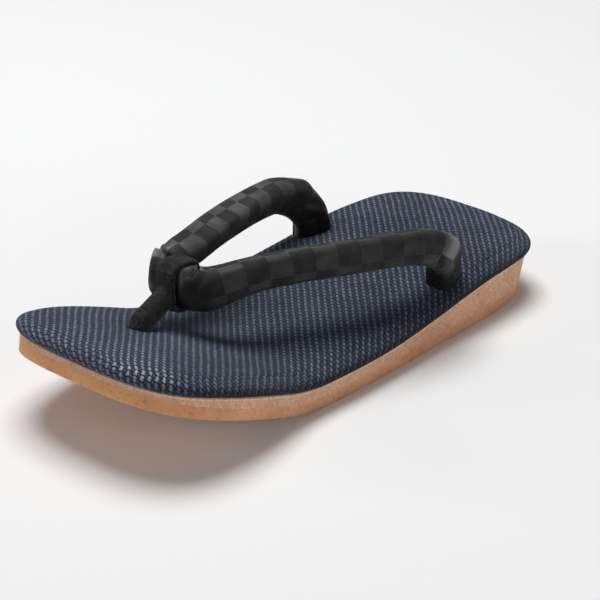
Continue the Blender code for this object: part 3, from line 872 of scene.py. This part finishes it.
def cloth_plan(sole, edge, grid):
    """Places of the cloth laid flat: from the sole's spine outwards by the length over the surface.

    The grid's last row is the spine. The first column is repeated at the end."""
    step = np.linalg.norm(np.diff(grid, axis=0), axis=2)
    reached = np.concatenate([np.cumsum(step[::-1], axis=0)[::-1], np.zeros((1, grid.shape[1]))])
    spine = grid[-1, :, :2]
    outward = edge[0] - spine
    outward /= np.linalg.norm(outward, axis=1)[:, None]
    flat = spine + outward * reached[:, :, None]
    return np.concatenate([flat, flat[:, :1]], axis=1)


class ZORI_OT_outsole(bpy.types.Operator):
    """Rubber sheet under the cork, with softly rounded edges"""

    bl_idname = "zori.outsole"
    bl_label = "Outsole"

    def execute(self, context):
        sole = context.scene.zori_sole
        edge = outline(sole, AROUND_SOLE)
        lean = wall_lean(sole, edge[1])
        tall = cork_top(sole, edge[0][:, 1]) - floor_side(sole, edge[0][:, 1])
        radius = RUBBER_ROUNDING
        # Rings run from the middle of the underside outwards, around the lower edge on a quarter
        # circle, up the wall and in over the top
        rings = [ring(sole, edge, share, lean + radius, lambda y: floor_side(sole, y))
                 for share in (0.0, 0.5, 0.9, 1.0)]
        for angle in np.linspace(-math.pi / 2, 0, 7)[1:]:
            inset = lean + radius * (1 - math.cos(angle))
            rings.append(ring(sole, edge, 1.0, inset,
                              lambda y, a=angle: floor_side(sole, y) + radius * (1 + math.sin(a))))
        for part in (0.5, 1.0):
            up = radius + (sole.outsole + sole.gap / 2 - radius) * part
            rings.append(ring(sole, edge, 1.0, lean * (1 - up / tall),
                              lambda y, u=up: floor_side(sole, y) + u))
        top = sole.outsole + sole.gap / 2
        rings += [ring(sole, edge, share, lean * (1 - top / tall), lambda y: floor_side(sole, y) + top)
                  for share in (0.9, 0.0)]
        tread = np.zeros((len(rings), 1))
        tread[:4] = 1
        made = mesh_object("outsole_rubber", np.array(rings), sponge_rubber(context.scene.zori_colours),
                           marks={"tread": tread})
        made.data.set_sharp_from_angle(angle=RUBBER_SHARP)
        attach(made, ROOT)
        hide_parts("outsole")
        return {"FINISHED"}


class ZORI_OT_cork(bpy.types.Operator):
    """Cork wedge with a sanded wall and a small pale bevel at its top edge"""

    bl_idname = "zori.cork"
    bl_label = "Cork"

    def execute(self, context):
        sole = context.scene.zori_sole
        edge = outline(sole, AROUND_SOLE)
        lean = wall_lean(sole, edge[1])
        y = edge[0][:, 1]
        tall = cork_top(sole, y) - floor_side(sole, y)
        seam = lean * (1 - (sole.outsole + sole.gap) / tall)
        bevel = CORK_BEVEL

        def bottom(y):
            return cork_bottom(sole, y) - sole.gap / 2 + CORK_LIFT

        def level(part):
            return lambda y: bottom(y) + (cork_top(sole, y) - bevel - bottom(y)) * part

        # Rings run from under the cork outwards, up the leaning wall, over the bevel and in over the top
        rings = [ring(sole, edge, share, seam, bottom) for share in (0.0, 0.9)]
        for part in (0, 0.25, 0.5, 0.75):
            rings.append(ring(sole, edge, 1.0, seam * (1 - part), level(part)))
        for depth in FRAY_DEPTHS:
            rings.append(ring(sole, edge, 1.0, 0.0, lambda y, d=depth: cork_top(sole, y) - bevel - d))
        rings.append(ring(sole, edge, 1.0, bevel, lambda y: cork_top(sole, y)))
        rings += [ring(sole, edge, share, bevel, lambda y: cork_top(sole, y)) for share in (0.9, 0.0)]
        rim = np.zeros((len(rings), 1))
        rim[-5:] = 1
        made = mesh_object("cork_body", np.array(rings),
                           granulated_cork(context.scene.zori_cloth.grain, context.scene.zori_colours),
                           marks={"rim": rim})
        made.data.set_sharp_from_angle(angle=CORK_SHARP)
        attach(made, ROOT)
        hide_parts("cork_wedge")
        return {"FINISHED"}


class ZORI_OT_footbed(bpy.types.Operator):
    """Padded footbed in woven cloth, with a rolled edge and dimples at its holes"""

    bl_idname = "zori.footbed"
    bl_label = "Footbed"

    def execute(self, context):
        sole = context.scene.zori_sole
        strap = context.scene.zori_strap
        edge = outline(sole, AROUND_SOLE)
        front = np.clip(-edge[1][:, 1], 0, None)
        proud = sole.overhang + (sole.toe_overhang - sole.overhang) * front
        # Each ring is the outline moved out by its share of the overhang, drawn to the spine, and
        # lifted over the cork by its shares of the rim and the crown
        rings = []
        for out, over, rim, crown in footbed_rows(sole, FOOTBED_ROWS):
            lift = sole.gap + sole.rim * rim + sole.crown * crown
            rings.append(ring(sole, edge, out, -proud * over, lambda y, h=lift: cork_top(sole, y) + h))
        grid = np.array(rings)
        # A dimple is a Gaussian around its hole, and only the upper half of the edge sinks with it
        upper = smooth(0.5, 1.0, (grid[:, :, 2] - cork_top(sole, grid[:, :, 1])) / sole.rim)
        for spot in (post_place(sole, strap), hole_place(sole, strap, 1), hole_place(sole, strap, -1)):
            far = np.hypot(grid[:, :, 0] - spot[0], grid[:, :, 1] - spot[1])
            grid[:, :, 2] -= DIMPLE_DEPTH * np.exp(-(far / DIMPLE_REACH) ** 2) * upper
        flat = cloth_plan(sole, edge, grid)
        low = (grid[:, :, 2] - cork_top(sole, grid[:, :, 1]) - sole.gap) / sole.rim
        # Painted shade where the cloth rolls under the edge, less at the lit toe; at the toe's corner,
        # pale wear plus a painted highlight
        corner = RUB_HIGHLIGHT_STRENGTH * smooth(0.35, 0.95, front) * smooth(0.0, 0.30, edge[1][:, 0])
        tucked = (1 - smooth(*TUCK_SHADE_FADE, low)) * (1 - TUCK_SHADE_LOST * front)
        rubbed = corner * np.exp(-((low - RUB_HIGHLIGHT_HEIGHT) / RUB_HIGHLIGHT_REACH) ** 2)
        look = woven_cloth(context.scene.zori_cloth, context.scene.zori_colours)
        made = mesh_object("footbed_cloth", grid, look, uv=flat,
                           marks={"tucked": tucked, "rubbed": rubbed})
        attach(made, ROOT)
        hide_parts("footbed")
        return {"FINISHED"}


def from_place(reached, place, length, where, degrees):
    """Distances of the strap's points from one place on it, along and around its surface."""
    along = reached[:, None] - np.interp(where, place, reached)
    turn = (np.arange(AROUND_STRAP) / AROUND_STRAP - degrees / 360 + 0.5) % 1 - 0.5
    return along, np.broadcast_to(turn * length, (len(reached), AROUND_STRAP))


class ZORI_OT_strap(bpy.types.Operator):
    """Padded strap: one tube from the right hole over the knot to the left hole, with its folds"""

    bl_idname = "zori.strap"
    bl_label = "Strap"

    def execute(self, context):
        sole = context.scene.zori_sole
        strap = context.scene.zori_strap
        left = arm_rows(sole, strap, 1, ALONG_ARM)
        right = arm_rows(sole, strap, -1, ALONG_ARM)
        side_left, up_left = frames(left[:, :3], UPRIGHT)
        side_right, up_right = frames(right[:, :3], UPRIGHT)
        rows = np.concatenate([right[:0:-1], left])
        side = np.concatenate([-side_right[:0:-1], side_left])
        up = np.concatenate([up_right[:0:-1], up_left])
        step = np.linalg.norm(np.diff(rows[:, :3], axis=0), axis=1)
        reached = np.concatenate([[0], np.cumsum(step)])
        reached -= reached[ALONG_ARM - 1]
        place = np.where(reached < 0, reached / -reached[0], reached / reached[-1])
        across, upward = section(AROUND_STRAP, strap.fullness)
        # The tube is a superellipse section carried along the path, with the half sizes of each row
        out = (side[:, None, :] * (rows[:, 3, None] * across)[:, :, None]
               + up[:, None, :] * (rows[:, 4, None] * upward)[:, :, None])
        girth = np.linalg.norm(out, axis=2, keepdims=True)
        length = 2 * math.pi * (strap.half_width + strap.half_height) / 2
        # With q along and w across a fold, in its half sizes, a crest is exp(-sqrt(w^2 + tip)), a
        # trough is exp(-w^2) less its lips, and both fade as exp(-q^2)
        relief = np.zeros((len(rows), AROUND_STRAP))
        for where, degrees, slant, half_length, half_width, height in FOLD_TABLE:
            along, beside = from_place(reached, place, length, where, degrees)
            c, s = math.cos(math.radians(slant)), math.sin(math.radians(slant))
            q = (along * c + beside * s) / half_length
            w = (beside * c - along * s) / half_width
            lips = np.exp(-(w - LIP_PLACE) ** 2) + np.exp(-(w + LIP_PLACE) ** 2)
            trough = np.exp(-w ** 2) - TROUGH_LIP * lips
            crest = np.exp(-np.sqrt(w ** 2 + CREST_TIP))
            relief += height * (crest if height > 0 else trough) * np.exp(-q ** 2)
        _, under = from_place(reached, place, length, 0.0, 270.0)
        relief -= strap.seam * np.exp(-(under / SEAM_HALF_WIDTH) ** 2)
        # Paler places, partly wear at the bends and partly painted highlights on lit tops and fold
        # crests
        worn = np.zeros((len(rows), AROUND_STRAP))
        for where, degrees, half_length, half_width, strength in WEAR_HIGHLIGHT_TABLE:
            along, beside = from_place(reached, place, length, where, degrees)
            worn += strength * np.exp(-(along / half_length) ** 2 - (beside / half_width) ** 2)
        grid = rows[:, None, :3] + out * (1 + relief[:, :, None] / girth)
        counted = reached[:, None] / strap.check + CHECKS_AT_KNOT
        turns = (np.linspace(0, 1, AROUND_STRAP + 1) + strap.check_turn / 360) * CHECKS_AROUND
        uv = np.stack(np.broadcast_arrays(counted, turns[None, :]), axis=2)
        # Painted shade on the cloth where it goes down into its hole
        deep = smooth(*HOLE_SHADE_FADE, np.abs(place))[:, None]
        made = mesh_object("strap_cloth", grid, checker_cloth(context.scene.zori_colours), uv=uv,
                           caps=True, marks={"worn": np.clip(worn, 0, 1), "deep": deep})
        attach(made, ROOT)
        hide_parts("strap")
        return {"FINISHED"}


class ZORI_OT_toe_post(bpy.types.Operator):
    """Cord that leans back from the footbed and wraps the strap in a flat band"""

    bl_idname = "zori.toe_post"
    bl_label = "Toe post"

    def execute(self, context):
        sole = context.scene.zori_sole
        strap = context.scene.zori_strap
        knot = knot_place(sole, strap)
        look = ribbed_cloth(context.scene.zori_colours)
        half_width = strap.half_width * ARM_TABLE[0][4] + sole.gap
        half_height = strap.half_height * ARM_TABLE[0][6] + sole.gap
        # The band is a flat section carried around the strap's own section
        across, upward = section(AROUND_BAND, strap.fullness)
        thick = strap.band_thickness / 2
        path = np.stack([np.full(AROUND_BAND, knot[0]), knot[1] - (half_width + thick) * across,
                         knot[2] + (half_height + thick) * upward], axis=1)
        tangent = np.roll(path, -1, axis=0) - np.roll(path, 1, axis=0)
        tangent /= np.linalg.norm(tangent, axis=1)[:, None]
        out = np.cross(np.array([1.0, 0, 0]), tangent)
        wide, tall = section(BAND_POINTS, BAND_FULLNESS)
        band = (path[:, None, :] + np.array([1.0, 0, 0]) * (strap.band_width / 2 * wide)[None, :, None]
                + out[:, None, :] * (thick * tall)[None, :, None])
        wrap = mesh_object("toe_post_cloth", np.concatenate([band, band[:1]]), look)
        # The stem is a round section carried along a quadratic Bezier curve, from under the footbed
        start = post_place(sole, strap)
        end = knot - np.array([0, half_width * STEM_END[0], half_height * STEM_END[1]])
        bend = start + np.array([0, 0, strap.post_radius * STEM_START])
        pull = bend + (end - bend) * STEM_PULL
        share = np.linspace(0, 1, ALONG_STEM)[:, None]
        curve = bend * (1 - share) ** 2 + pull * 2 * share * (1 - share) + end * share ** 2
        foot = start - np.array([0, 0, sole.rim])
        stem_path = np.concatenate([[foot], curve])
        sideways, up = frames(stem_path, BACKWARD)
        ring_x, ring_y = section(STEM_POINTS, STEM_FULLNESS)
        radius = strap.post_radius
        grid = (stem_path[:, None, :] + sideways[:, None, :] * ring_x[None, :, None] * radius
                + up[:, None, :] * ring_y[None, :, None] * radius)
        stem = mesh_object("toe_post_stem", grid, look, caps=True)
        made = melted(wrap, stem)
        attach(made, ROOT)
        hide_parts("toe_post")
        return {"FINISHED"}


def melted(piece, other):
    """One smooth skin around two pieces: joined, remeshed in voxels, and smoothed."""
    work = bmesh.new()
    work.from_mesh(piece.data)
    work.from_mesh(other.data)
    work.to_mesh(piece.data)
    work.free()
    bpy.data.objects.remove(other, do_unlink=True)
    remesh = piece.modifiers.new("remesh", "REMESH")
    remesh.mode = "VOXEL"
    remesh.voxel_size = SKIN_VOXEL
    soften = piece.modifiers.new("soften", "SMOOTH")
    soften.factor = 0.5
    soften.iterations = SKIN_ROUNDS
    evaluated = piece.evaluated_get(bpy.context.evaluated_depsgraph_get())
    mesh = bpy.data.meshes.new_from_object(evaluated)
    piece.modifiers.clear()
    piece.data = mesh
    mesh.shade_smooth()
    return piece


class ZORI_OT_stage(bpy.types.Operator):
    """Pale floor, soft lights and the camera at the photograph's angle"""

    bl_idname = "zori.stage"
    bl_label = "Stage"

    def execute(self, context):
        stage = context.scene.zori_stage
        mesh = bpy.data.meshes.new("studio_floor")
        corners = np.array([(-1, -1, 0), (1, -1, 0), (1, 1, 0), (-1, 1, 0)]) * FLOOR_REACH
        mesh.from_pydata(corners.tolist(), [], [(0, 1, 2, 3)])
        colours = context.scene.zori_colours
        mesh.materials.append(dressed(new_look("matt_white_floor"), {
            "Base Color": colours.floor, "Roughness": 0.9}))
        floor = bpy.data.objects.new("studio_floor", mesh)
        context.scene.collection.objects.link(floor)
        world = bpy.data.worlds.new("studio_world")
        world.use_nodes = True
        world.node_tree.nodes["Background"].inputs["Color"].default_value = linear("#f4f6f8")
        world.node_tree.nodes["Background"].inputs["Strength"].default_value = stage.sky
        context.scene.world = world
        for name, place, size, power in LAMPS:
            lamp = bpy.data.lights.new(name, "AREA")
            lamp.shape = "DISK"
            lamp.size = size
            lamp.energy = getattr(stage, power)
            made = bpy.data.objects.new(name, lamp)
            made.location = place
            aim(made, (0, 0, 0))
            context.scene.collection.objects.link(made)
        data = bpy.data.cameras.new("camera")
        data.lens = stage.lens
        data.sensor_width = 36
        data.sensor_fit = "HORIZONTAL"
        data.clip_start = 0.01
        camera = bpy.data.objects.new("camera", data)
        camera.location = CAMERA_PLACE
        aim(camera, CAMERA_TARGET)
        context.scene.collection.objects.link(camera)
        context.scene.camera = camera
        context.scene.view_settings.view_transform = "Standard"
        return {"FINISHED"}


def aim(thing, target):
    """Turns a lamp or camera so that it looks at a place, with its top up."""
    place = np.array(thing.location)
    back = place - np.array(target)
    back /= np.linalg.norm(back)
    right = np.cross(UPRIGHT, back)
    right /= np.linalg.norm(right)
    up = np.cross(back, right)
    turned = np.eye(4)
    turned[:3] = np.column_stack([right, up, back, place])
    thing.matrix_world = Matrix(turned.tolist())


class ZORI_PT_panel(bpy.types.Panel):
    """Lists the sandal's pieces"""

    bl_idname = "ZORI_PT_panel"
    bl_label = "Zori sandal"
    bl_space_type = "VIEW_3D"
    bl_region_type = "UI"
    bl_category = "Zori"

    def draw(self, context):
        for name in STEPS:
            self.layout.operator(f"zori.{name}")
        for key in GROUPS:
            group = getattr(context.scene, key)
            box = self.layout.box()
            for value in group.bl_rna.properties.keys():
                if value not in ("rna_type", "name"):
                    box.prop(group, value)


STEPS = ("stage", "outsole", "cork", "footbed", "strap", "toe_post")
GROUPS = {"zori_sole": SoleSizes, "zori_strap": StrapSizes, "zori_cloth": ClothSizes,
          "zori_colours": FinishColours, "zori_stage": StageSizes}
CLASSES = (*GROUPS.values(), ZORI_OT_stage, ZORI_OT_outsole, ZORI_OT_cork, ZORI_OT_footbed,
           ZORI_OT_strap, ZORI_OT_toe_post, ZORI_PT_panel)


def register():
    """Registers the classes and gives the scene its groups of sizes and colours."""
    for item in CLASSES:
        bpy.utils.register_class(item)
    for name, group in GROUPS.items():
        setattr(bpy.types.Scene, name, bpy.props.PointerProperty(type=group))


def unregister():
    """Takes the groups and the classes away again."""
    for name in GROUPS:
        delattr(bpy.types.Scene, name)
    for item in reversed(CLASSES):
        bpy.utils.unregister_class(item)


def main():
    """Makes the stage and every piece."""
    register()
    for name in STEPS:
        getattr(bpy.ops.zori, name)()


if __name__ == "__main__":
    main()
